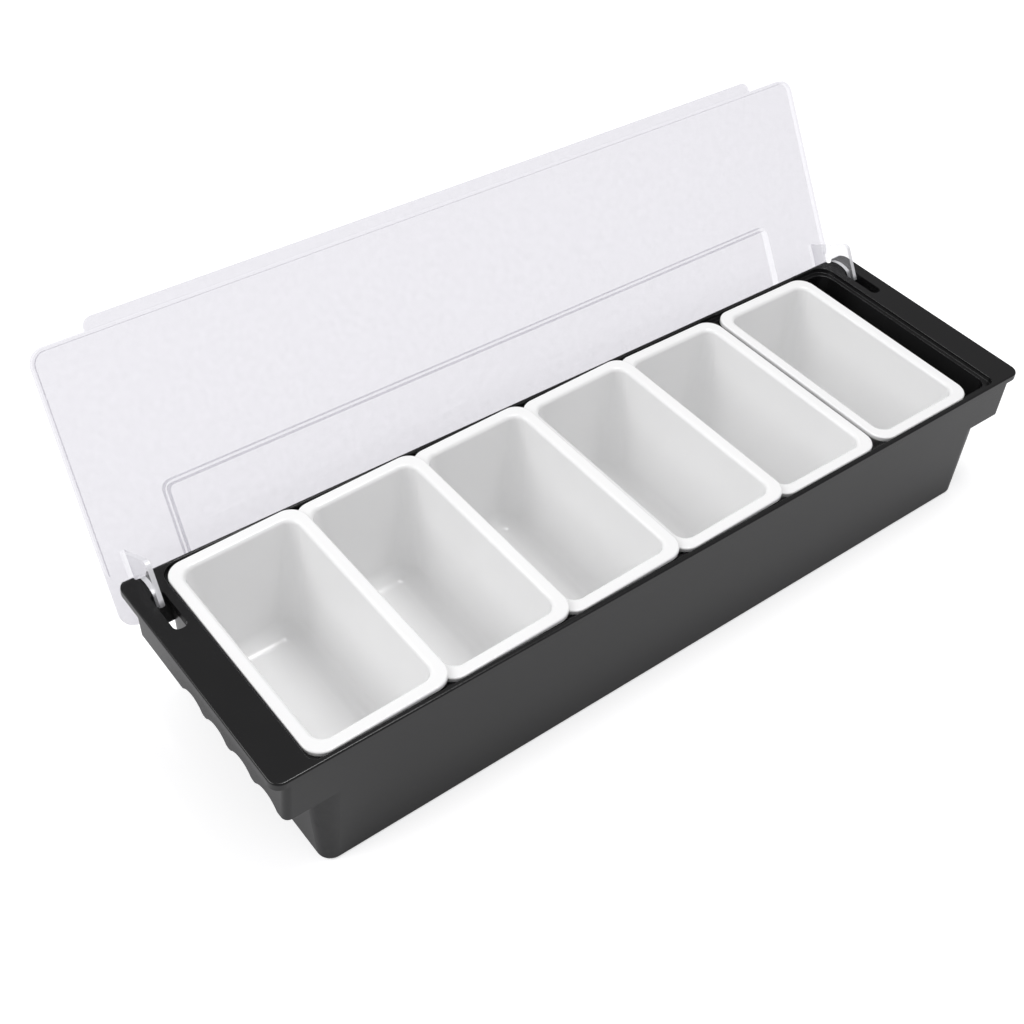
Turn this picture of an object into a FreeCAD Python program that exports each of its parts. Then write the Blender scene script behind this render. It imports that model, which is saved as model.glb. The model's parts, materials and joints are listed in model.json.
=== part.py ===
import FreeCAD, Part
import math
import os
import Sketcher

# Condiment holder: a long black tray with a wide flange, six white pans that
# hang in its recess, and a clear lid whose two hooks swing on bars in the
# ends of the flange.
# X runs along the tray, Y to the back and Z up. The origin is in the middle
# of the underside of the tray. The lid is drawn lying flat and then stands
# open against its stop.

doc = FreeCAD.newDocument("condiment_holder")
sheet = doc.addObject("Spreadsheet::Sheet", "Sizes")
V = FreeCAD.Vector

SIZES = [
    # tray; a text value is worked out from the others
    ("flange_length", 495.0),
    ("flange_width", 139.1),
    ("tray_height", 80.5),
    ("flange_thick", 4.0),
    ("flange_corner", 6.0),
    ("flange_edge", 1.0),
    ("back_edge", 2.5),
    ("floor_thick", 3.0),
    ("end_inset", 19.7),
    ("end_draft", 6.6),
    ("front_inset", 1.25),
    ("front_draft", 1.1),
    ("back_inset", 2.75),
    ("back_draft", 1.6),
    ("body_top_length", "flange_length - 2 * end_inset"),
    ("body_foot_length", "body_top_length - 2 * end_draft"),
    ("body_front_top", "flange_width / 2 - front_inset"),
    ("body_front_foot", "body_front_top - front_draft"),
    ("body_back_top", "flange_width / 2 - back_inset"),
    ("body_back_foot", "body_back_top - back_draft"),
    ("body_top_corner", 14.0),
    ("body_foot_corner", 7.0),
    ("foot_round", 1.8),
    ("end_wall", 2.5),
    ("front_wall", 4.4),
    ("back_wall", 2.9),
    ("inner_front_corner", 6.0),
    ("inner_back_corner", 9.0),
    ("inner_foot_corner", 6.0),
    ("inner_foot_round", 4.0),
    # recess for the rims
    ("recess_end", 19.9),
    ("recess_side", 2.75),
    ("recess_length", "flange_length - 2 * recess_end"),
    ("recess_width", "flange_width - 2 * recess_side"),
    ("recess_depth", 3.2),
    ("recess_front_corner", 4.5),
    ("recess_back_corner", 9.0),
    ("recess_edge", 0.5),
    ("ledge_edge", 0.4),
    # skirts under the ends
    ("skirt_inset", 5.5),
    ("skirt_length", "flange_length - 2 * skirt_inset"),
    ("skirt_wall", 2.7),
    ("skirt_drop", 29.6),
    ("skirt_back_inset", 7.95),
    ("skirt_lean", 5.8),
    ("skirt_back", "flange_width / 2 - skirt_back_inset"),
    ("skirt_corner", 3.5),
    ("skirt_back_corner", 3.0),
    ("grip_back", 39.9),
    ("grip_front", 5.6),
    ("grip_count", 4),
    ("grip_start", "skirt_back - grip_back"),
    ("grip_pitch", "(grip_start + body_front_top - grip_front) / grip_count"),
    ("grip_slope", 0.19),
    ("grip_rise", "grip_slope * grip_pitch"),
    ("grip_cusp", 3.2),
    ("grip_round", 2.8),
    # hinge slots and bars
    ("slot_inset", 15.5),
    ("slot_inner", "flange_length / 2 - slot_inset"),
    ("slot_width", 7.0),
    ("slot_length", 25.3),
    ("slot_corner", 2.8),
    ("bar_width", 12.3),
    ("notch_depth", 3.55),
    ("notch_corner", 0.8),
    ("bar_back", "flange_width / 2 - notch_depth"),
    ("slot_back", "bar_back - bar_width"),
    ("slot_front", "slot_back - slot_length"),
    # pans
    ("pan_side_play", 0.7),
    ("pan_end_play", 1.2),
    ("spare_bay", 19.2),
    ("pan_count", 6),
    ("lap_one", 4.9),
    ("lap_two", 4.9),
    ("lap_three", 2.9),
    ("lap_four", 4.9),
    ("pan_space", 2.4),
    ("pan_row", "recess_length - pan_end_play - spare_bay - pan_space"),
    ("pan_laps", "lap_one + lap_two + lap_three + lap_four"),
    ("pan_width", "(pan_row + pan_laps) / pan_count"),
    ("pan_length", "recess_width - 2 * pan_side_play"),
    ("first_pan", "pan_end_play - recess_length / 2"),
    ("pan_lift", 4.8),
    ("rim_thick", 2.5),
    ("pan_height", "tray_height - floor_thick - recess_depth + rim_thick - pan_lift"),
    ("pan_corner", 10.0),
    ("pan_neck_corner", 8.0),
    ("rim_edge", 0.9),
    ("rim_reach", 5.2),
    ("pan_wall", 1.5),
    ("pan_floor", 1.8),
    ("pan_taper", 6.0),
    ("pan_foot_corner", 14.0),
    ("pan_foot_round", 11.0),
    ("mouth_round", 2.2),
    ("seat_gap", 0.05),
    ("lap_gap", 0.25),
    # lid
    ("lid_inset", 0.5),
    ("hinge_inset", 34.55),
    ("front_set_back", 1.15),
    ("back_overlap", 2.05),
    ("stand_off", 16.75),
    ("lid_length", "flange_length - 2 * lid_inset"),
    ("lid_shift", "flange_width / 2 - hinge_inset"),
    ("lid_front", "flange_width / 2 + lid_shift - front_set_back"),
    ("lid_back", "flange_width / 2 - lid_shift + back_overlap"),
    ("lid_stand", "flange_width / 2 + stand_off"),
    ("lid_tilt", 31.4),
    ("lid_corner", 8.0),
    ("lid_thick", 2.0),
    ("lid_rim_width", 1.6),
    ("lid_rim_height", 2.4),
    ("lid_rim_back", 12.0),
    ("lid_gap", 0.3),
    ("raised_inset", 41.2),
    ("raised_length", "lid_length - 2 * raised_inset"),
    ("raised_front", 22.1),
    ("raised_height", 5.0),
    ("raised_corner", 5.0),
    ("raised_edge", 1.2),
    ("tab_left_inset", 29.1),
    ("tab_right_inset", 31.7),
    ("tab_left", "lid_length / 2 - tab_left_inset"),
    ("tab_right", "lid_length / 2 - tab_right_inset"),
    ("tab_reach", 6.2),
    ("tab_root", 7.0),
    ("tab_thick", 1.6),
    ("tab_corner", 5.0),
    # hooks of the lid
    ("hook_play", 2.5),
    ("hook_inner", "slot_inner + hook_play"),
    ("hook_thick", 2.5),
    ("hook_top", 0.3),
    ("hook_reach", 33.0),
    ("hook_tip", 23.3),
    ("hook_tip_depth", 4.7),
    ("hook_stop", "hook_reach - hook_tip_depth"),
    ("hook_foot", 19.0),
    ("hook_mouth", 14.6),
    ("hook_corner", 3.0),
    ("hook_tip_corner", 1.5),
    # how far a cutting sketch runs past what it cuts
    ("cut_past", 5.0),
]
for row, (alias, value) in enumerate(SIZES, 1):
    sheet.set("A%d" % row, alias)
    sheet.set("B%d" % row, "=" + value if isinstance(value, str) else str(value))
    sheet.setAlias("B%d" % row, alias)
doc.recompute()


def size(alias):
    return float(sheet.get(alias))


def origin_plane(body, role):
    return [f for f in body.Origin.OriginFeatures if f.Role == role][0]


def new_body(name, label):
    body = doc.addObject("PartDesign::Body", name)
    body.Label = label
    return body


def new_sketch(body, name, role="XY_Plane", height=None):
    sketch = body.newObject("Sketcher::SketchObject", name)
    sketch.AttachmentSupport = [(origin_plane(body, role), "")]
    sketch.MapMode = "FlatFace"
    if height is not None:
        sketch.setExpression("AttachmentOffset.Base.z", height)
    doc.recompute()
    return sketch


def value_of(sketch, expression):
    return float(sketch.evalExpression(expression))


def rounded_rectangle(sketch, left, right, low, high, corner, back_corner=None):
    """Closed outline with rounded corners, the two at the high side with a
    radius of their own where one is given; each side is tied to the sheet by
    the expression that is given for its coordinate."""
    x0 = value_of(sketch, left)
    x1 = value_of(sketch, right)
    y0 = value_of(sketch, low)
    y1 = value_of(sketch, high)
    r = value_of(sketch, corner)
    b = value_of(sketch, back_corner or corner)
    ends = [
        (V(x0 + r, y0, 0), V(x1 - r, y0, 0)),
        (V(x1, y0 + r, 0), V(x1, y1 - b, 0)),
        (V(x1 - b, y1, 0), V(x0 + b, y1, 0)),
        (V(x0, y1 - b, 0), V(x0, y0 + r, 0)),
    ]
    centres = [
        (V(x1 - r, y0 + r, 0), -90, r),
        (V(x1 - b, y1 - b, 0), 0, b),
        (V(x0 + b, y1 - b, 0), 90, b),
        (V(x0 + r, y0 + r, 0), 180, r),
    ]
    up = V(0, 0, 1)
    for i in range(4):
        sketch.addGeometry(Part.LineSegment(*ends[i]), False)
        centre, start, radius = centres[i]
        circle = Part.Circle(centre, up, radius)
        arc = Part.ArcOfCircle(circle, math.radians(start), math.radians(start + 90))
        sketch.addGeometry(arc, False)
    for i in range(4):
        line = 2 * i
        arc = line + 1
        following = (line + 2) % 8
        sketch.addConstraint(Sketcher.Constraint("Tangent", line, 2, arc, 1))
        sketch.addConstraint(Sketcher.Constraint("Tangent", arc, 2, following, 1))
    sketch.addConstraint(Sketcher.Constraint("Horizontal", 0))
    sketch.addConstraint(Sketcher.Constraint("Vertical", 2))
    sketch.addConstraint(Sketcher.Constraint("Equal", 1, 7))
    sketch.addConstraint(Sketcher.Constraint("Equal", 3, 5))
    ties = [
        ("Radius", (1,), r, corner),
        ("Radius", (3,), b, back_corner or corner),
        ("DistanceX", (6, 1), x0, left),
        ("DistanceX", (2, 1), x1, right),
        ("DistanceY", (0, 1), y0, low),
        ("DistanceY", (4, 1), y1, high),
    ]
    for kind, place, value, expression in ties:
        number = sketch.addConstraint(Sketcher.Constraint(kind, *place, value))
        sketch.setExpression("Constraints[%d]" % number, expression)
    doc.recompute()


def volume(body):
    doc.recompute()
    return body.Shape.Volume


def pad(body, name, sketch, length, reversed_=False, midplane=False):
    feature = body.newObject("PartDesign::Pad", name)
    feature.Profile = sketch
    feature.setExpression("Length", length)
    feature.Reversed = reversed_
    feature.Midplane = midplane
    doc.recompute()
    return feature


def pocket(body, name, sketch, length, reversed_=False, through=False, midplane=False):
    """Cuts the sketch out of the body and makes sure that it removed something."""
    before = volume(body)
    feature = body.newObject("PartDesign::Pocket", name)
    feature.Profile = sketch
    if through:
        feature.Type = "ThroughAll"
    else:
        feature.setExpression("Length", length)
    feature.Reversed = reversed_
    feature.Midplane = midplane
    if volume(body) >= before - 1e-3:
        raise RuntimeError(name + " removed nothing")
    return feature


def loft(body, name, kind, sections):
    feature = body.newObject("PartDesign::" + kind, name)
    feature.Profile = sections[0]
    feature.Sections = sections[1:]
    feature.Ruled = True
    doc.recompute()
    return feature


def fillet(body, name, radius, chosen):
    """Rounds the edges that the test picks from the body as it is now."""
    doc.recompute()
    base = body.Tip
    names = []
    for i, edge in enumerate(base.Shape.Edges, 1):
        if chosen(edge):
            names.append("Edge%d" % i)
    if not names:
        raise RuntimeError(name + " found no edge")
    feature = body.newObject("PartDesign::Fillet", name)
    feature.Base = (base, names)
    feature.setExpression("Radius", radius)
    doc.recompute()
    if feature.Shape.isNull() or not feature.Shape.isValid():
        raise RuntimeError(name + " did not round its edges")
    return feature


def lies_at(edge, z, tolerance=1e-3):
    box = edge.BoundBox
    return abs(box.ZMin - z) < tolerance and abs(box.ZMax - z) < tolerance


# Heights that several pieces share, as expressions of the sheet.
FLANGE_LOW = "Sizes.tray_height - Sizes.flange_thick"
LEDGE = "Sizes.tray_height - Sizes.recess_depth"
SKIRT_LOW = "Sizes.tray_height - Sizes.skirt_drop"


def make_tray():
    body = new_body("Tray", "tray")
    top = size("tray_height")

    plan = new_sketch(body, "flange_plan", height=FLANGE_LOW)
    rounded_rectangle(plan, "-Sizes.flange_length / 2", "Sizes.flange_length / 2",
                      "-Sizes.flange_width / 2", "Sizes.flange_width / 2",
                      "Sizes.flange_corner")
    pad(body, "flange", plan, "Sizes.flange_thick")

    # The skirt shares the body's front face, which leans a little, and its
    # back wall leans out towards the flange.
    lean = ("(Sizes.body_front_top - Sizes.body_front_foot)"
            " / (Sizes.tray_height - Sizes.flange_thick)")
    front_low = "(Sizes.body_front_foot + (" + SKIRT_LOW + ") * " + lean + ")"
    side = "Sizes.skirt_length / 2"
    back_high = "(Sizes.skirt_back + Sizes.skirt_lean)"
    low = new_sketch(body, "skirt_low", height=SKIRT_LOW)
    rounded_rectangle(low, "-" + side, side, "-" + front_low, "Sizes.skirt_back",
                      "Sizes.skirt_corner", "Sizes.skirt_back_corner")
    high = new_sketch(body, "skirt_high", height=FLANGE_LOW)
    rounded_rectangle(high, "-" + side, side, "-Sizes.body_front_top", back_high,
                      "Sizes.skirt_corner", "Sizes.skirt_back_corner")
    loft(body, "skirt", "AdditiveLoft", [low, high])
    inner = "(Sizes.skirt_length / 2 - Sizes.skirt_wall)"
    hollows = []
    for level, height, front, back in (
            ("low", SKIRT_LOW, front_low, "Sizes.skirt_back"),
            ("high", FLANGE_LOW, "Sizes.body_front_top", back_high)):
        hollow = new_sketch(body, "skirt_hollow_" + level, height=height)
        rounded_rectangle(hollow, "-" + inner, inner, "-(" + front + " - Sizes.skirt_wall)",
                          back + " - Sizes.skirt_wall", "Sizes.skirt_corner - Sizes.skirt_wall",
                          "Sizes.skirt_back_corner / 2")
        hollows.append(hollow)
    loft(body, "hollow_cut", "SubtractiveLoft", hollows)

    # One finger scallop in the lower edge of the skirts, then the row of them.
    wave = new_sketch(body, "grip_wave", "YZ_Plane")
    a = value_of(wave, "Sizes.grip_start - Sizes.grip_cusp / 2")
    b = value_of(wave, "Sizes.grip_start - Sizes.grip_pitch + Sizes.grip_cusp / 2")
    base = value_of(wave, SKIRT_LOW)
    rise = size("grip_rise")
    half = (a - b) / 2
    r = (half ** 2 + rise ** 2) / (2 * rise)
    middle = V((a + b) / 2, base + rise - r, 0)
    circle = Part.Circle(middle, V(0, 0, 1), r)
    spread = math.atan2(half, r - rise)
    wave.addGeometry(Part.ArcOfCircle(circle, math.pi / 2 - spread, math.pi / 2 + spread), False)
    wave.addGeometry(Part.LineSegment(V(b, base, 0), V(a, base, 0)), False)
    wave.addConstraint(Sketcher.Constraint("Coincident", 0, 2, 1, 1))
    wave.addConstraint(Sketcher.Constraint("Coincident", 0, 1, 1, 2))
    wave.addConstraint(Sketcher.Constraint("Horizontal", 1))
    radius = ("(((Sizes.grip_pitch - Sizes.grip_cusp) / 2) ^ 2 + Sizes.grip_rise ^ 2)"
              " / (2 * Sizes.grip_rise)")
    for kind, place, value, expression in (
            ("DistanceX", (1, 1), b,
             "Sizes.grip_start - Sizes.grip_pitch + Sizes.grip_cusp / 2"),
            ("DistanceX", (1, 2), a, "Sizes.grip_start - Sizes.grip_cusp / 2"),
            ("DistanceY", (1, 1), base, SKIRT_LOW),
            ("Radius", (0,), r, radius)):
        number = wave.addConstraint(Sketcher.Constraint(kind, *place, value))
        wave.setExpression("Constraints[%d]" % number, expression)
    scallop = pocket(body, "scallop", wave, None, through=True, midplane=True)
    row = body.newObject("PartDesign::LinearPattern", "scallops")
    row.Originals = [scallop]
    row.Direction = (origin_plane(body, "Y_Axis"), [""])
    row.Reversed = True
    row.setExpression("Occurrences", "Sizes.grip_count")
    row.setExpression("Length", "(Sizes.grip_count - 1) * Sizes.grip_pitch")
    body.Tip = row
    doc.recompute()
    low_edge = value_of(wave, SKIRT_LOW)

    def cusp_edge(edge):
        box = edge.BoundBox
        across = box.YLength < 1e-3 and box.XLength < 2 * size("skirt_wall")
        return lies_at(edge, low_edge) and across

    fillet(body, "cusp_rounding", "Sizes.grip_round", cusp_edge)

    # The tub, wider at the top than at the foot.
    foot = new_sketch(body, "tub_foot")
    rounded_rectangle(foot, "-Sizes.body_foot_length / 2", "Sizes.body_foot_length / 2",
                      "-Sizes.body_front_foot", "Sizes.body_back_foot",
                      "Sizes.body_foot_corner")
    neck = new_sketch(body, "tub_neck", height=FLANGE_LOW)
    rounded_rectangle(neck, "-Sizes.body_top_length / 2", "Sizes.body_top_length / 2",
                      "-Sizes.body_front_top", "Sizes.body_back_top",
                      "Sizes.body_top_corner")
    loft(body, "tub", "AdditiveLoft", [foot, neck])
    fillet(body, "foot_rounding", "Sizes.foot_round", lambda e: lies_at(e, 0.0))

    # The inside of the tub, up to the ledge that carries the rims.
    foot = new_sketch(body, "inside_foot", height="Sizes.floor_thick")
    rounded_rectangle(foot,
                      "-(Sizes.body_foot_length / 2 - Sizes.end_wall)",
                      "Sizes.body_foot_length / 2 - Sizes.end_wall",
                      "-(Sizes.body_front_foot - Sizes.front_wall)",
                      "Sizes.body_back_foot - Sizes.back_wall",
                      "Sizes.inner_foot_corner")
    neck = new_sketch(body, "inside_neck", height=LEDGE)
    rounded_rectangle(neck,
                      "-(Sizes.body_top_length / 2 - Sizes.end_wall)",
                      "Sizes.body_top_length / 2 - Sizes.end_wall",
                      "-(Sizes.body_front_top - Sizes.front_wall)",
                      "Sizes.body_back_top - Sizes.back_wall",
                      "Sizes.inner_front_corner", "Sizes.inner_back_corner")
    loft(body, "inside", "SubtractiveLoft", [foot, neck])
    deep = size("floor_thick")
    fillet(body, "inside_rounding", "Sizes.inner_foot_round", lambda e: lies_at(e, deep))

    seat = new_sketch(body, "recess_plan", height=LEDGE)
    rounded_rectangle(seat, "-Sizes.recess_length / 2", "Sizes.recess_length / 2",
                      "-Sizes.recess_width / 2", "Sizes.recess_width / 2",
                      "Sizes.recess_front_corner", "Sizes.recess_back_corner")
    pocket(body, "recess", seat, "Sizes.recess_depth", reversed_=True)

    def ledge_rim(edge):
        box = edge.BoundBox
        inside = max(abs(box.XMin), abs(box.XMax)) < size("body_top_length") / 2 - 1
        return lies_at(edge, top - size("recess_depth")) and inside

    fillet(body, "ledge_rounding", "Sizes.ledge_edge", ledge_rim)

    def recess_rim(edge):
        box = edge.BoundBox
        reach = size("recess_length") / 2 + 0.1
        side = size("recess_width") / 2 + 0.1
        inside = (max(abs(box.XMin), abs(box.XMax)) < reach
                  and max(abs(box.YMin), abs(box.YMax)) < side)
        return lies_at(edge, top) and inside

    fillet(body, "recess_rounding", "Sizes.recess_edge", recess_rim)

    def flange_rim(edge):
        box = edge.BoundBox
        outer = size("flange_length") / 2 - size("flange_corner") - 1
        far = size("flange_width") / 2 - 0.5
        wide = abs(box.Center.x) > outer or abs(box.Center.y) > far
        return lies_at(edge, top) and wide

    fillet(body, "flange_rounding", "Sizes.flange_edge", flange_rim)

    # The back edge has a larger rounding, because the lid rolls over it.
    corner = new_sketch(body, "back_corner", "YZ_Plane")
    r = size("back_edge")
    far = value_of(corner, "Sizes.flange_width / 2")
    spare = size("cut_past")
    points = [V(far - r, top, 0), V(far - r, top + spare, 0),
              V(far + spare, top + spare, 0), V(far + spare, top - r, 0),
              V(far, top - r, 0)]
    for i in range(4):
        corner.addGeometry(Part.LineSegment(points[i], points[i + 1]), False)
    circle = Part.Circle(V(far - r, top - r, 0), V(0, 0, 1), r)
    corner.addGeometry(Part.ArcOfCircle(circle, 0.0, math.pi / 2), False)
    for i in range(3):
        corner.addConstraint(Sketcher.Constraint("Coincident", i, 2, i + 1, 1))
    corner.addConstraint(Sketcher.Constraint("Coincident", 3, 2, 4, 1))
    corner.addConstraint(Sketcher.Constraint("Coincident", 4, 2, 0, 1))
    corner.addConstraint(Sketcher.Constraint("Vertical", 0))
    corner.addConstraint(Sketcher.Constraint("Horizontal", 1))
    corner.addConstraint(Sketcher.Constraint("Vertical", 2))
    corner.addConstraint(Sketcher.Constraint("Horizontal", 3))
    for kind, place, value, expression in (
            ("DistanceX", (0, 1), far - r, "Sizes.flange_width / 2 - Sizes.back_edge"),
            ("DistanceY", (0, 1), top, "Sizes.tray_height"),
            ("DistanceX", (3, 2), far, "Sizes.flange_width / 2"),
            ("DistanceY", (3, 2), top - r, "Sizes.tray_height - Sizes.back_edge"),
            ("Radius", (4,), r, "Sizes.back_edge"),
            ("DistanceY", (0, 2), top + spare, "Sizes.tray_height + Sizes.cut_past"),
            ("DistanceX", (1, 2), far + spare, "Sizes.flange_width / 2 + Sizes.cut_past")):
        number = corner.addConstraint(Sketcher.Constraint(kind, *place, value))
        corner.setExpression("Constraints[%d]" % number, expression)
    pocket(body, "back_rounding", corner, None, through=True, midplane=True)

    # A slot and a notch at each end leave the bar that a hook swings on.
    for name, sign in (("left", -1), ("right", 1)):
        inner = "Sizes.slot_inner"
        outer = "Sizes.slot_inner + Sizes.slot_width"
        if sign > 0:
            x0, x1 = inner, outer
        else:
            x0, x1 = "-(" + outer + ")", "-" + inner
        slot = new_sketch(body, "slot_" + name, height=FLANGE_LOW)
        rounded_rectangle(slot, x0, x1, "Sizes.slot_front", "Sizes.slot_back",
                          "Sizes.slot_corner")
        pocket(body, "slot_cut_" + name, slot, "Sizes.flange_thick", reversed_=True)
        notch = new_sketch(body, "notch_" + name, height=FLANGE_LOW)
        rounded_rectangle(notch, x0, x1, "Sizes.bar_back",
                          "Sizes.flange_width / 2 + Sizes.cut_past", "Sizes.notch_corner")
        pocket(body, "notch_cut_" + name, notch, "Sizes.flange_thick", reversed_=True)
    return body


def make_pan(number, left, lap):
    """One pan in its own frame: the left end of the rim's underside is at
    x = 0, z = 0. A lap tips the pan up until its right rim clears the left
    rim of the next one, and rests there."""
    body = new_body("Pan%d" % number, "pan_%d" % number)
    width = "Sizes.pan_width"
    half = "Sizes.pan_length / 2"
    plan = new_sketch(body, "rim_plan_%d" % number)
    rounded_rectangle(plan, "0", width, "-" + half, half, "Sizes.pan_corner")
    pad(body, "rim_%d" % number, plan, "Sizes.rim_thick")
    top = size("rim_thick")
    fillet(body, "edge_%d" % number, "Sizes.rim_edge", lambda e: lies_at(e, top))

    depth = "(Sizes.pan_height - Sizes.rim_thick)"
    reach = "Sizes.rim_reach"
    low = reach + " + Sizes.pan_taper"
    outer_high = new_sketch(body, "outer_high_%d" % number)
    rounded_rectangle(outer_high, reach, width + " - " + reach,
                      "-(" + half + " - " + reach + ")", half + " - " + reach,
                      "Sizes.pan_neck_corner")
    outer_low = new_sketch(body, "outer_low_%d" % number, height="-" + depth)
    rounded_rectangle(outer_low, low, width + " - (" + low + ")",
                      "-(" + half + " - (" + low + "))", half + " - (" + low + ")",
                      "Sizes.pan_foot_corner")
    loft(body, "shell_%d" % number, "AdditiveLoft", [outer_high, outer_low])

    # The inside keeps the wall all the way down.
    wall = "Sizes.rim_reach + Sizes.pan_wall"
    low = wall + " + Sizes.pan_taper"
    inner_high = new_sketch(body, "inner_high_%d" % number, height="Sizes.rim_thick")
    rounded_rectangle(inner_high, wall, width + " - (" + wall + ")",
                      "-(" + half + " - (" + wall + "))", half + " - (" + wall + ")",
                      "Sizes.pan_neck_corner - Sizes.pan_wall")
    inner_low = new_sketch(body, "inner_low_%d" % number, height="-" + depth + " + Sizes.pan_floor")
    rounded_rectangle(inner_low, low, width + " - (" + low + ")",
                      "-(" + half + " - (" + low + "))", half + " - (" + low + ")",
                      "Sizes.pan_foot_corner - Sizes.pan_wall")
    loft(body, "inside_%d" % number, "SubtractiveLoft", [inner_high, inner_low])
    floor = value_of(plan, "-" + depth + " + Sizes.pan_floor")
    fillet(body, "inside_foot_%d" % number, "Sizes.pan_foot_round - Sizes.pan_wall",
           lambda e: lies_at(e, floor))
    deep = value_of(plan, "-" + depth)
    fillet(body, "foot_%d" % number, "Sizes.pan_foot_round", lambda e: lies_at(e, deep))
    inner = size("rim_reach") + size("pan_wall")

    def mouth(edge):
        box = edge.BoundBox
        inside = box.XMin > inner - 0.5 and box.XMax < size("pan_width") - inner + 0.5
        return lies_at(edge, top) and inside

    fillet(body, "mouth_%d" % number, "Sizes.mouth_round", mouth)
    body.Placement = FreeCAD.Placement(V(0, 0, 0), FreeCAD.Rotation(V(0, -1, 0), 1.0))
    body.setExpression("Placement.Base.x", left)
    body.setExpression("Placement.Base.z", LEDGE + " + Sizes.seat_gap")
    if lap:
        pitch = "(Sizes.pan_width - Sizes." + lap + ")"
        body.setExpression("Placement.Rotation.Angle",
                           "asin((Sizes.rim_thick + Sizes.lap_gap) / " + pitch + ")")
    else:
        body.setExpression("Placement.Rotation.Angle", "0")
    doc.recompute()
    return body


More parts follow.
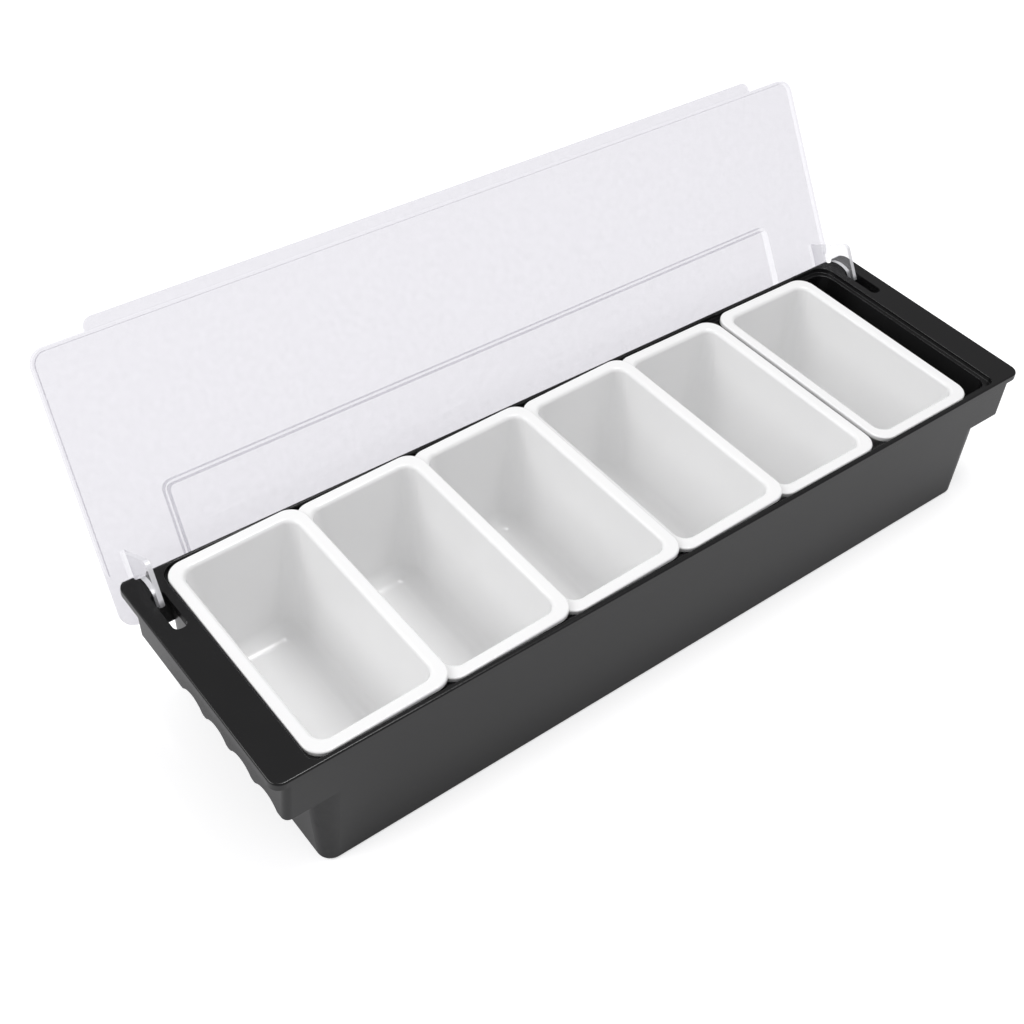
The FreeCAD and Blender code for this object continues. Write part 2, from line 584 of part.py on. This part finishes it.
def make_lid():
    """The lid as it lies when closed, with the middle of its hinge line as
    the origin, and its hooks hanging down."""
    body = new_body("Lid", "lid")
    side = "Sizes.lid_length / 2"
    inner_face = "-Sizes.lid_thick / 4"
    plan = new_sketch(body, "panel_plan", height=inner_face)
    rounded_rectangle(plan, "-" + side, side, "-Sizes.lid_front", "Sizes.lid_back",
                      "Sizes.lid_corner")
    pad(body, "panel", plan, "Sizes.lid_thick")

    # The rim round the front and the ends stops short of the hinge.
    plan = new_sketch(body, "rim_plan", height=inner_face)
    rounded_rectangle(plan, "-" + side, side, "-Sizes.lid_front", "Sizes.lid_rim_back",
                      "Sizes.lid_corner")
    pad(body, "rim", plan, "Sizes.lid_rim_height", reversed_=True)
    inner = "(Sizes.lid_length / 2 - Sizes.lid_rim_width)"
    plan = new_sketch(body, "rim_inside", height=inner_face)
    rounded_rectangle(plan, "-" + inner, inner, "-(Sizes.lid_front - Sizes.lid_rim_width)",
                      "Sizes.lid_rim_back + Sizes.lid_corner + Sizes.cut_past",
                      "Sizes.lid_corner - Sizes.lid_rim_width")
    pocket(body, "rim_cut", plan, "Sizes.lid_rim_height")

    # The raised field, open at the back, passes round the back of the tray.
    side = "Sizes.raised_length / 2"
    plan = new_sketch(body, "raised_plan", height=inner_face)
    rounded_rectangle(plan, "-" + side, side, "-Sizes.raised_front",
                      "Sizes.lid_back + 2 * Sizes.cut_past", "Sizes.raised_corner")
    pad(body, "raised_block", plan, "Sizes.raised_height + Sizes.lid_thick")
    crown = value_of(plan, "Sizes.raised_height + Sizes.lid_thick * 3 / 4")
    fillet(body, "raised_rounding", "Sizes.raised_edge", lambda e: lies_at(e, crown))
    inner = "(Sizes.raised_length / 2 - Sizes.lid_thick)"
    plan = new_sketch(body, "raised_inside", height=inner_face)
    rounded_rectangle(plan, "-" + inner, inner, "-(Sizes.raised_front - Sizes.lid_thick)",
                      "Sizes.lid_back + 4 * Sizes.cut_past",
                      "Sizes.raised_corner - Sizes.lid_thick")
    pocket(body, "raised_cut", plan, "Sizes.raised_height", reversed_=True)
    trim = new_sketch(body, "back_trim", height=inner_face + " - Sizes.cut_past")
    rounded_rectangle(trim, "-Sizes.lid_length", "Sizes.lid_length", "Sizes.lid_back",
                      "Sizes.lid_back + 8 * Sizes.cut_past", "Sizes.lid_thick")
    pocket(body, "back_cut", trim, "Sizes.raised_height + Sizes.lid_thick + 2 * Sizes.cut_past",
           reversed_=True)

    # The pull tab along the front edge.
    plan = new_sketch(body, "tab_plan", height=inner_face)
    rounded_rectangle(plan, "-Sizes.tab_left", "Sizes.tab_right",
                      "-(Sizes.lid_front + Sizes.tab_reach)",
                      "-(Sizes.lid_front - Sizes.tab_root)", "Sizes.tab_corner")
    pad(body, "tab", plan, "Sizes.tab_thick")

    # The hooks: a plate each, with a round mouth about the hinge axis.
    lift = "(Sizes.lid_thick / 4 + Sizes.lid_rim_height + Sizes.lid_gap)"
    back = "(Sizes.lid_stand - Sizes.lid_shift)"
    turn = "(1 + sin(Sizes.lid_tilt * 1deg))"
    lean = "cos(Sizes.lid_tilt * 1deg)"
    across = "(" + turn + "^2 + " + lean + "^2)"
    axis_y = "((" + back + " * " + turn + " - " + lift + " * " + lean + ") / " + across + ")"
    axis_z = "(-(" + lift + " * " + turn + " + " + back + " * " + lean + ") / " + across + ")"
    hook = new_sketch(body, "hook_profile", "YZ_Plane")
    hook.setExpression("AttachmentOffset.Base.z", "Sizes.hook_inner + Sizes.hook_thick / 2")
    py = value_of(hook, axis_y)
    pz = value_of(hook, axis_z)
    mouth = size("hook_mouth")
    top = -size("hook_top")
    reach = -size("hook_reach")
    tip = size("hook_tip")
    stop = -size("hook_stop")
    foot = size("hook_foot")
    root = 0.0
    r = size("hook_corner")
    r2 = size("hook_tip_corner")
    start = py - math.sqrt(mouth ** 2 - (stop - pz) ** 2)
    finish = pz + math.sqrt(mouth ** 2 - (foot - py) ** 2)
    up = V(0, 0, 1)
    # 0 top edge, 1 corner, 2 outer edge, 3 corner, 4 tip, 5 stop, 6 mouth, 7 foot, 8 root
    hook.addGeometry(Part.LineSegment(V(top, root, 0), V(top, reach + r, 0)), False)
    circle = Part.Circle(V(top + r, reach + r, 0), up, r)
    hook.addGeometry(Part.ArcOfCircle(circle, math.pi, math.pi * 1.5), False)
    hook.addGeometry(Part.LineSegment(V(top + r, reach, 0), V(tip - r2, reach, 0)), False)
    circle = Part.Circle(V(tip - r2, reach + r2, 0), up, r2)
    hook.addGeometry(Part.ArcOfCircle(circle, math.pi * 1.5, math.pi * 2), False)
    hook.addGeometry(Part.LineSegment(V(tip, reach + r2, 0), V(tip, stop, 0)), False)
    hook.addGeometry(Part.LineSegment(V(tip, stop, 0), V(start, stop, 0)), False)
    circle = Part.Circle(V(py, pz, 0), up, mouth)
    a0 = math.atan2(finish - pz, foot - py) % (2 * math.pi)
    a1 = math.atan2(stop - pz, start - py) % (2 * math.pi)
    hook.addGeometry(Part.ArcOfCircle(circle, a0, a1), False)
    hook.addGeometry(Part.LineSegment(V(foot, finish, 0), V(foot, root, 0)), False)
    hook.addGeometry(Part.LineSegment(V(foot, root, 0), V(top, root, 0)), False)
    C = Sketcher.Constraint
    for c in (C("Tangent", 0, 2, 1, 1), C("Tangent", 1, 2, 2, 1), C("Tangent", 2, 2, 3, 1),
              C("Tangent", 3, 2, 4, 1), C("Coincident", 4, 2, 5, 1),
              C("Coincident", 5, 2, 6, 2), C("Coincident", 6, 1, 7, 1),
              C("Coincident", 7, 2, 8, 1), C("Coincident", 8, 2, 0, 1),
              C("Vertical", 0), C("Horizontal", 2), C("Vertical", 4), C("Horizontal", 5),
              C("Vertical", 7), C("Horizontal", 8)):
        hook.addConstraint(c)
    for kind, place, value, expression in (
            ("DistanceX", (0, 1), top, "-Sizes.hook_top"),
            ("DistanceY", (0, 1), root, "0"),
            ("DistanceY", (2, 1), reach, "-Sizes.hook_reach"),
            ("DistanceX", (4, 1), tip, "Sizes.hook_tip"),
            ("DistanceY", (5, 1), stop, "-Sizes.hook_stop"),
            ("DistanceX", (7, 1), foot, "Sizes.hook_foot"),
            ("Radius", (1,), r, "Sizes.hook_corner"),
            ("Radius", (3,), r2, "Sizes.hook_tip_corner"),
            ("Radius", (6,), mouth, "Sizes.hook_mouth"),
            ("DistanceX", (6, 3), py, axis_y),
            ("DistanceY", (6, 3), pz, axis_z)):
        number = hook.addConstraint(C(kind, *place, value))
        hook.setExpression("Constraints[%d]" % number, expression)
    doc.recompute()
    right = pad(body, "hook_right", hook, "Sizes.hook_thick", midplane=True)
    pair = body.newObject("PartDesign::Mirrored", "hooks")
    pair.Originals = [right]
    pair.MirrorPlane = (origin_plane(body, "YZ_Plane"), [""])
    body.Tip = pair

    # It stands open against the bars, tilted back.
    body.Placement = FreeCAD.Placement(V(0, 0, 0), FreeCAD.Rotation(V(-1, 0, 0), 90.0))
    body.setExpression("Placement.Base.y", "Sizes.lid_stand")
    body.setExpression("Placement.Base.z", "Sizes.tray_height")
    body.setExpression("Placement.Rotation.Angle", "90 + Sizes.lid_tilt")
    doc.recompute()
    return body


PITCH = "(Sizes.pan_width - Sizes.%s)"
nodes = [make_tray()]
place = "Sizes.first_pan"
for number, lap in enumerate(("lap_one", "lap_two", "lap_three", "lap_four", None, None), 1):
    nodes.append(make_pan(number, place, lap))
    if lap:
        place = place + " + " + PITCH % lap
    else:
        place = place + " + Sizes.pan_width + Sizes.pan_space"
nodes.append(make_lid())
doc.recompute()

for obj in doc.Objects:
    if "Invalid" in obj.State or "Error" in obj.State:
        raise RuntimeError(obj.Name + " did not build")
for node in nodes:
    shape = node.Shape
    if shape.isNull() or not shape.isValid() or len(shape.Solids) != 1:
        raise RuntimeError(node.Label + " is not one valid solid")

os.makedirs("parts", exist_ok=True)
for node in nodes:
    node.Shape.exportStep("parts/" + node.Label + ".step")
    box = node.Shape.BoundBox
    print(node.Label, round(node.Shape.Volume / 1000, 2), "cm3",
          [round(v, 2) for v in (box.XMin, box.XMax, box.YMin, box.YMax, box.ZMin, box.ZMax)])
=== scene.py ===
import json
import math

import bpy
import numpy as np
from mathutils import Matrix

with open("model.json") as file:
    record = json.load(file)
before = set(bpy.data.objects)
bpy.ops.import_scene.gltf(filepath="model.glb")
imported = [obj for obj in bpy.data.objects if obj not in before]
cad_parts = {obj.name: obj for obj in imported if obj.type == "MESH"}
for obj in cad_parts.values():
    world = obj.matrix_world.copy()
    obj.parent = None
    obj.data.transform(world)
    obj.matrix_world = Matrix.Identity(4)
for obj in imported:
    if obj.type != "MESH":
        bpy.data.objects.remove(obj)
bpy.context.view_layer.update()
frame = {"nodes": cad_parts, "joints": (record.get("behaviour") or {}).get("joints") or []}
nodes = frame["nodes"]

# ---------------------------------------------------------------- materials

# A noise stays between about these two values, and its finer layers weigh this much.
NOISE_SPAN = (0.3, 0.7)
NOISE_ROUGHNESS = 0.55
# From none to all.
SHARE = (0.0, 1.0)


class Nodes:
    """Shader nodes added one by one to a tree."""

    def __init__(self, tree):
        self.tree = tree

    def add(self, kind, inputs=(), **settings):
        """A node of that kind: settings are its properties, inputs its sockets' values or links."""
        node = self.tree.nodes.new("ShaderNode" + kind)
        for key, value in settings.items():
            setattr(node, key, value)
        for key, value in dict(inputs).items():
            if isinstance(value, bpy.types.NodeSocket):
                self.tree.links.new(value, node.inputs[key])
            else:
                node.inputs[key].default_value = value
        return node

    def maths(self, operation, *values, clamp=False):
        """The result of one sum on one to three numbers or links."""
        node = self.add("Math", enumerate(values), operation=operation, use_clamp=clamp)
        return node.outputs[0]


class Finish(Nodes):
    """A material built node by node on Object coordinates, which are metres."""

    def __init__(self, name):
        self.material = bpy.data.materials.new(name)
        self.material.use_nodes = True
        super().__init__(self.material.node_tree)
        self.tree.nodes.clear()
        self.output = self.add("OutputMaterial")
        surface = self.add("TexCoord")
        self.place = surface.outputs["Object"]
        self.facing = surface.outputs["Normal"]

    def vector_maths(self, operation, first, second, result):
        """The named result of one sum on two vectors."""
        node = self.add("VectorMath", {0: first, 1: second}, operation=operation)
        return node.outputs[result]

    def axis(self, vector, name):
        """One of the X, Y and Z of a vector."""
        return self.add("SeparateXYZ", {0: vector}).outputs[name]

    def noise(self, per_metre, detail):
        """Soft noise with about that many patches to the metre."""
        node = self.add("TexNoise", {"Vector": self.place, "Scale": per_metre,
                                     "Detail": detail, "Roughness": NOISE_ROUGHNESS})
        return node.outputs["Fac"]

    def spread(self, value, low, high, span=NOISE_SPAN):
        """The value, which crosses span, turned into low to high and held there beyond it."""
        node = self.add("MapRange", {"Value": value, "From Min": span[0], "From Max": span[1],
                                     "To Min": low, "To Max": high})
        return node.outputs["Result"]

    def blend(self, share, first, second):
        """A colour that is the first at share 0 and the second at 1."""
        colours = [colour if isinstance(colour, bpy.types.NodeSocket) else (*colour, 1.0)
                   for colour in (first, second)]
        inputs = {0: share, 6: colours[0], 7: colours[1]}
        return self.add("Mix", inputs, data_type="RGBA").outputs[2]

    def bump(self, height, depth, strength, under=None):
        """A normal that stands up by depth metres where height is 1, laid over another one."""
        inputs = {"Height": height, "Distance": depth, "Strength": strength}
        if under is not None:
            inputs["Normal"] = under
        return self.add("Bump", inputs).outputs["Normal"]

    def mix(self, share, below, above):
        """A mix of two shader nodes: all below at 0, all above at 1."""
        node = self.add("MixShader", {0: share})
        self.tree.links.new(below.outputs[0], node.inputs[1])
        self.tree.links.new(above.outputs[0], node.inputs[2])
        return node

    def close(self, shader):
        """The finished material, with that shader node as its surface."""
        self.tree.links.new(shader.outputs[0], self.output.inputs["Surface"])
        return self.material


def grey(level):
    """The linear colour that shows as that sRGB level, 0 to 255."""
    share = level / 255.0
    linear = share / 12.92 if share <= 0.04045 else ((share + 0.055) / 1.055) ** 2.4
    return (linear, linear, linear)


COOL = (1.0, 0.985, 1.03)


def cool_grey(level):
    """That grey with a little less green and a little more blue."""
    return tuple(part * tint for part, tint in zip(grey(level), COOL))


# How deep each relief is, in metres.
GRAIN_DEPTH = 0.00001
SCUFF_DEPTH = 0.00002
FLOW_DEPTH = 0.0002
SAG_DEPTH = 0.0004

# How strongly each plastic bends light, which sets how much it mirrors.
ABS_IOR = 1.53
MELAMINE_IOR = 1.5


def black_abs():
    """Moulded black plastic: a satin gloss with a fine spark grain and faint handling haze."""
    finish = Finish("black_abs")
    haze = finish.noise(per_metre=11.0, detail=4.0)
    grain = finish.noise(per_metre=1300.0, detail=2.0)
    flow = finish.noise(per_metre=26.0, detail=2.0)
    deep_black, dull_black = cool_grey(17), cool_grey(22)
    satin, worn_satin = 0.20, 0.26
    relief = finish.bump(flow, FLOW_DEPTH, strength=0.25)
    relief = finish.bump(grain, GRAIN_DEPTH, strength=0.35, under=relief)
    return finish.close(finish.add("BsdfPrincipled", {
        "Base Color": finish.blend(finish.spread(haze, *SHARE), deep_black, dull_black),
        "Roughness": finish.spread(haze, satin, worn_satin),
        "Normal": relief,
        "IOR": ABS_IOR}))


def white_melamine():
    """Smooth moulded white: a clear gloss over very slight waves left by the mould."""
    finish = Finish("white_melamine")
    cloud = finish.noise(per_metre=14.0, detail=3.0)
    wave = finish.noise(per_metre=22.0, detail=1.0)
    grain = finish.noise(per_metre=900.0, detail=2.0)
    soft_white, full_white = grey(242), grey(245)
    polished, handled = 0.16, 0.20
    relief = finish.bump(wave, FLOW_DEPTH, strength=0.2)
    relief = finish.bump(grain, GRAIN_DEPTH, strength=0.15, under=relief)
    return finish.close(finish.add("BsdfPrincipled", {
        "Base Color": finish.blend(finish.spread(cloud, *SHARE), soft_white, full_white),
        "Roughness": finish.spread(cloud, polished, handled),
        "Normal": relief,
        "IOR": MELAMINE_IOR}))


# The lid stands turned open about PIVOT. INWARD is the way its inner side faces: straight
# down on the closed lid, turned back by OPEN_TURN.
PIVOT = tuple(frame["joints"][0]["pos_m"])
OPEN_TURN = math.radians(121.4)
INWARD = (0.0, -math.sin(OPEN_TURN), -math.cos(OPEN_TURN))

# Where the panel ends and its hooks begin, in metres from the pivot along INWARD.
HOOK_ROOT = (-0.013, -0.010)
# The height at which a hook of the open lid comes out of its slot, in metres.
SLOT_MOUTH = (0.0795, 0.0812)

# How far a face looks along the sheet's thickness, from a narrow face to a broad one.
NARROW_TO_BROAD = (0.6, 0.95)
# How far it looks along the hinge, from a hook's cut edge to its flat side.
EDGE_TO_SIDE = (0.3, 0.7)
# How far it looks inward, from a hook's back edge to the front edge, which the lamps reach; over
# this span the painted highlight on a hook's edge grows.
BACK_TO_FRONT = (-0.2, 0.4)
# How much of the painted highlight on a hook's edge is left inside the slot, where it is dimmed as
# painted shade, and on the back edge.
SLOT_HIGHLIGHT_SHARE = 0.25
BACK_HIGHLIGHT_SHARE = 0.1

# What one face of the sheet lets through.
BROAD_TINT = (0.852, 0.846, 0.866)
NARROW_TINT = (0.893, 0.889, 0.905)
HOOK_TINT = (0.965, 0.965, 0.97)
GHOST_TINT = (0.97, 0.97, 0.97, 1.0)

# The milk in it, and how much of a face is milk: by itself, and what each place adds.
MILK_COLOUR = (0.86, 0.86, 0.89, 1.0)
MILK_ROUGHNESS = 0.3
SHEET_HAZE = (0.04, 0.07)
PANEL_HAZE = 0.05
HOOK_HAZE = 0.07
# This much white milk on the hooks' front cut edges above the slot is a painted highlight.
EDGE_HIGHLIGHT_HAZE = 0.70

# How much of a face mirrors, seen straight on and seen at a glancing angle, and how blurred.
SHEET_GLOSS = (0.03, 0.07)
GLOSS_COLOUR = (1.0, 1.0, 1.0, 1.0)
GLOSS_ROUGHNESS = (0.05, 0.1)
GLANCING_POWER = 5.0


def clear_sheet():
    """Clear plastic gone slightly milky: its broad faces tint and haze what is behind them.

    Narrow faces stay clearer. The cut edges of the two hooks, which stand well inside the panel,
    carry a painted highlight:
    white milk on their front edges above the slot, less on their back edges, and dimmed inside the
    slot as painted shade. Light from lamps and from other surfaces passes nearly whole.
    """
    finish = Finish("clear_sheet")
    scuff = finish.noise(per_metre=240.0, detail=4.0)
    wave = finish.noise(per_metre=16.0, detail=2.0)
    relief = finish.bump(wave, SAG_DEPTH, strength=0.2)
    relief = finish.bump(scuff, SCUFF_DEPTH, strength=0.3, under=relief)

    # Which way a face looks.
    inward = finish.vector_maths("DOT_PRODUCT", finish.facing, INWARD, "Value")
    broad = finish.spread(finish.maths("ABSOLUTE", inward), *SHARE, span=NARROW_TO_BROAD)
    sideways = finish.maths("ABSOLUTE", finish.axis(finish.facing, "X"))
    cut_edge = finish.spread(sideways, 1.0, 0.0, span=EDGE_TO_SIDE)
    front_edge = finish.spread(inward, BACK_HIGHLIGHT_SHARE, 1.0, span=BACK_TO_FRONT)

    # Where it is: on the panel or on a hook, inside the slot or above it.
    from_pivot = finish.vector_maths("SUBTRACT", finish.place, PIVOT, "Vector")
    depth = finish.vector_maths("DOT_PRODUCT", from_pivot, INWARD, "Value")
    hook = finish.spread(depth, *SHARE, span=HOOK_ROOT)
    # Inside the slot the painted highlight on the hooks' edges is dimmed: painted shade.
    above_slot = finish.spread(finish.axis(finish.place, "Z"), SLOT_HIGHLIGHT_SHARE, 1.0, span=SLOT_MOUTH)
    panel = finish.maths("SUBTRACT", broad, hook, clamp=True)
    hook_edge = finish.maths("MULTIPLY", hook, cut_edge)
    lit = finish.maths("MULTIPLY", above_slot, front_edge)
    # Painted highlight: the hooks' cut front edges turn white, less on the back edges and inside
    # the slot.
    painted_edge_highlight = finish.maths("MULTIPLY", hook_edge, lit)

    shade = finish.blend(panel, NARROW_TINT, BROAD_TINT)
    shade = finish.blend(hook, shade, HOOK_TINT)
    tint = finish.add("BsdfTransparent", {"Color": shade})
    milk = finish.add("BsdfPrincipled", {
        "Base Color": MILK_COLOUR, "Roughness": MILK_ROUGHNESS, "Normal": relief})
    haze = finish.spread(scuff, *SHEET_HAZE)
    for place, more in ((panel, PANEL_HAZE), (hook, HOOK_HAZE), (painted_edge_highlight, EDGE_HIGHLIGHT_HAZE)):
        haze = finish.maths("MULTIPLY_ADD", place, more, haze)
    body = finish.mix(haze, tint, milk)

    # The mirrored share rises with a power of how far the face is turned from the eye.
    gloss = finish.add("BsdfGlossy", {
        "Color": GLOSS_COLOUR, "Roughness": finish.spread(scuff, *GLOSS_ROUGHNESS),
        "Normal": relief})
    turned = finish.add("LayerWeight", {"Blend": 0.5, "Normal": relief}).outputs["Facing"]
    glancing = finish.maths("POWER", turned, GLANCING_POWER)
    face = finish.mix(finish.spread(glancing, *SHEET_GLOSS, span=SHARE), body, gloss)

    # Shadows and light from other surfaces meet only a faint clear ghost of the sheet.
    ghost = finish.add("BsdfTransparent", {"Color": GHOST_TINT})
    ray = finish.add("LightPath")
    lighting = finish.maths("MAXIMUM", ray.outputs["Is Shadow Ray"], ray.outputs["Is Diffuse Ray"])
    return finish.close(finish.mix(lighting, face, ghost))


FLOOR_COLOUR = (0.70, 0.70, 0.705, 1.0)
# What the floor adds to its own light, as the camera sees it and as gloss mirrors it.
GLOW_COLOUR = (1.0, 1.0, 1.0, 1.0)
FLOOR_GLOW = 0.58
FLOOR_MIRROR_GLOW = 0.01


def pale_floor():
    """White table: plain white where it is open, with the object's soft shadow close to it."""
    finish = Finish("pale_floor")
    diffuse = finish.add("BsdfDiffuse", {"Color": FLOOR_COLOUR})
    ray = finish.add("LightPath")
    seen = finish.maths("MAXIMUM", ray.outputs["Is Camera Ray"], ray.outputs["Is Transmission Ray"])
    glow = finish.maths("MULTIPLY", seen, FLOOR_GLOW)
    glow = finish.maths("MULTIPLY_ADD", ray.outputs["Is Glossy Ray"], FLOOR_MIRROR_GLOW, glow)
    glow = finish.add("Emission", {"Color": GLOW_COLOUR, "Strength": glow})
    both = finish.add("AddShader")
    finish.tree.links.new(diffuse.outputs["BSDF"], both.inputs[0])
    finish.tree.links.new(glow.outputs["Emission"], both.inputs[1])
    return finish.close(both)


def dress(piece, material):
    """Give the piece that material and no other."""
    piece.data.materials.clear()
    piece.data.materials.append(material)


black = black_abs()
white = white_melamine()
clear = clear_sheet()
for name, piece in nodes.items():
    dress(piece, white if name.startswith("pan") else clear if name == "lid" else black)

# ------------------------------------------------------------ floor and light

FLOOR_REACH = 6.0


def square_floor(reach):
    """A flat square at height 0, reach metres from its middle to each side."""
    mesh = bpy.data.meshes.new("floor")
    corners = [(-reach, -reach, 0), (reach, -reach, 0), (reach, reach, 0), (-reach, reach, 0)]
    mesh.from_pydata(corners, [], [(0, 1, 2, 3)])
    piece = bpy.data.objects.new("floor", mesh)
    bpy.context.scene.collection.objects.link(piece)
    return piece


floor = square_floor(FLOOR_REACH)
dress(floor, pale_floor())

# How bright the backdrop is for light on the object, for the camera and for mirrored rays.
SKY_LIGHT = 0.57
SKY_SEEN = 1.0
SKY_MIRRORED = 0.26
SKY_COLOUR = (0.993, 0.99, 1.0, 1.0)


def studio_backdrop():
    """A world of one colour, whose strength depends on the kind of ray that meets it."""
    world = bpy.data.worlds.new("studio")
    world.use_nodes = True
    sky = Nodes(world.node_tree)
    backdrop = sky.tree.nodes["Background"]
    backdrop.inputs["Color"].default_value = SKY_COLOUR
    ray = sky.add("LightPath")
    level = SKY_LIGHT
    for kind, strength in (("Is Glossy Ray", SKY_MIRRORED), ("Is Camera Ray", SKY_SEEN),
                           ("Is Transmission Ray", SKY_SEEN)):
        level = sky.maths("MULTIPLY_ADD", ray.outputs[kind], strength - SKY_LIGHT, level)
    sky.tree.links.new(level, backdrop.inputs["Strength"])
    return world


bpy.context.scene.world = studio_backdrop()


def softbox(name, place, aim, width, height, watts):
    """A rectangular lamp at place that faces the point aim."""
    lamp = bpy.data.lights.new(name, "AREA")
    lamp.shape = "RECTANGLE"
    lamp.size = width
    lamp.size_y = height
    lamp.energy = watts
    piece = bpy.data.objects.new(name, lamp)
    bpy.context.scene.collection.objects.link(piece)
    piece.location = place
    away = np.array(place, float) - np.array(aim, float)
    tip = math.acos(away[2] / np.linalg.norm(away))
    turn = math.atan2(away[1], away[0]) + math.pi / 2
    piece.rotation_euler = (tip, 0.0, turn)
    return piece


TRAY_MIDDLE = (0.0, 0.0, 0.05)
softbox("top_light", (0.35, -0.02, 2.2), TRAY_MIDDLE, width=0.8, height=0.7, watts=16.5)
softbox("key_light", (-1.8, 0.6, 1.45), TRAY_MIDDLE, width=1.5, height=1.3, watts=19.5)

# ------------------------------------------------------------------- camera

# The pinhole camera that the straight edges in the photograph fit: it looks YAW right of +Y
# and PITCH down, rolled by ROLL, from EYE. The pixels are those of the photograph's frame.
YAW, PITCH, ROLL = (math.radians(angle) for angle in (41.52, 39.60, 5.32))
FOCAL_PIXELS = 1560.703
IMAGE_PIXELS = 1024.0
CENTRE_PIXEL = (512.0, 385.0)
EYE = (-0.4396, -0.4097, 0.6229)
SENSOR_MM = 36.0
# Nothing nearer to the eye than this is drawn, in metres.
NEAREST_SEEN = 0.01


def photo_camera():
    """The camera: its axes from the three angles, its lens and shift from the pixels."""
    ahead = np.array([math.sin(YAW) * math.cos(PITCH), math.cos(YAW) * math.cos(PITCH),
                      -math.sin(PITCH)])
    level = np.array([math.cos(YAW), -math.sin(YAW), 0.0])
    upright = np.cross(level, ahead)
    right = math.cos(ROLL) * level + math.sin(ROLL) * upright
    up = -math.sin(ROLL) * level + math.cos(ROLL) * upright
    data = bpy.data.cameras.new("photo_camera")
    data.sensor_width = SENSOR_MM
    data.lens = FOCAL_PIXELS / IMAGE_PIXELS * SENSOR_MM
    middle = IMAGE_PIXELS / 2
    data.shift_x = (middle - CENTRE_PIXEL[0]) / IMAGE_PIXELS
    data.shift_y = (CENTRE_PIXEL[1] - middle) / IMAGE_PIXELS
    data.clip_start = NEAREST_SEEN
    piece = bpy.data.objects.new("photo_camera", data)
    bpy.context.scene.collection.objects.link(piece)
    pose = np.eye(4)
    pose[:3] = np.column_stack([right, up, -ahead, EYE])
    piece.matrix_world = Matrix(pose.tolist())
    return piece


bpy.context.scene.camera = photo_camera()
bpy.context.scene.view_settings.view_transform = "Standard"
